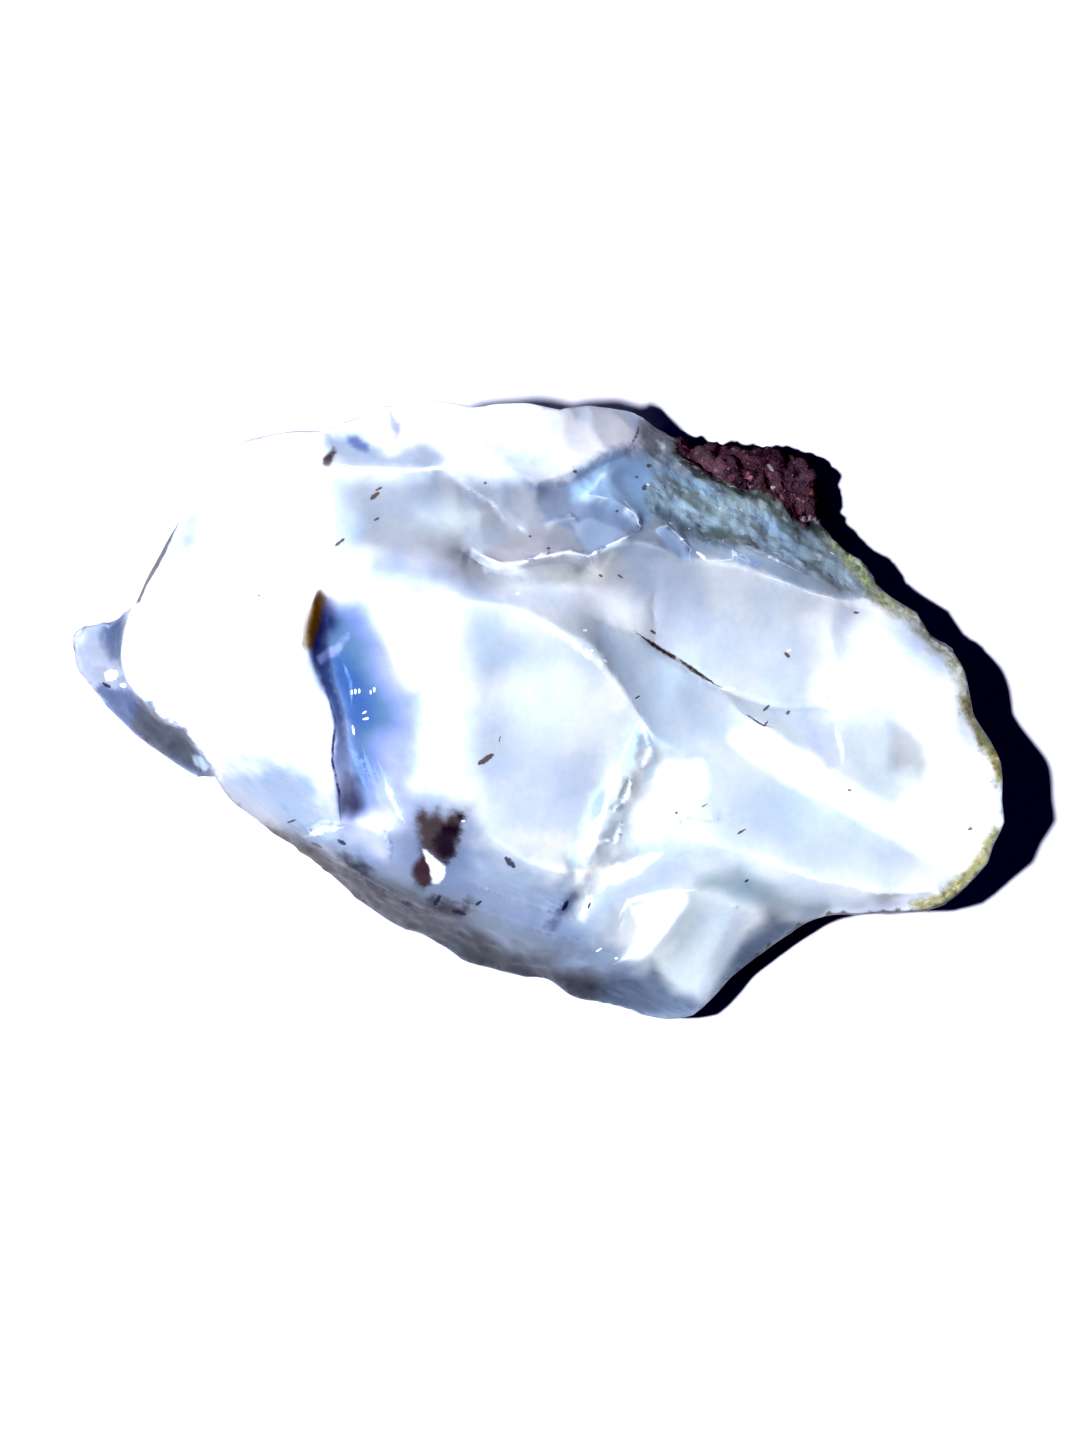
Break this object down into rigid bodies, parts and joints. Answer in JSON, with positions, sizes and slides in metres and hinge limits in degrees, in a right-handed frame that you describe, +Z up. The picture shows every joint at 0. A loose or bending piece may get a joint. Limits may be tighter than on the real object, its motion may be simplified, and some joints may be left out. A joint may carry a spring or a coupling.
{
  "type": "rough white opal",
  "caption": "Rough piece of milky white opal with shell-like fractures, a bluish groove and a thin rind with reddish host rock, resting on a flat fracture.",
  "frame": {"origin": "under the middle of the stone's box, on the surface it rests on", "axes": "+X along the stone from the thin ledge towards the rounded lobe, +Z up from the flat fracture it rests on"},
  "size_m": [0.075, 0.0494, 0.0262],
  "materials": {
    "opal": "glassy to waxy milky white fracture faces, bluish where thin, with a grainy olive rind and a reddish brown host rock remnant"
  },
  "bodies": {
    "root": {"opal": "opal"}
  },
  "joints": []
}
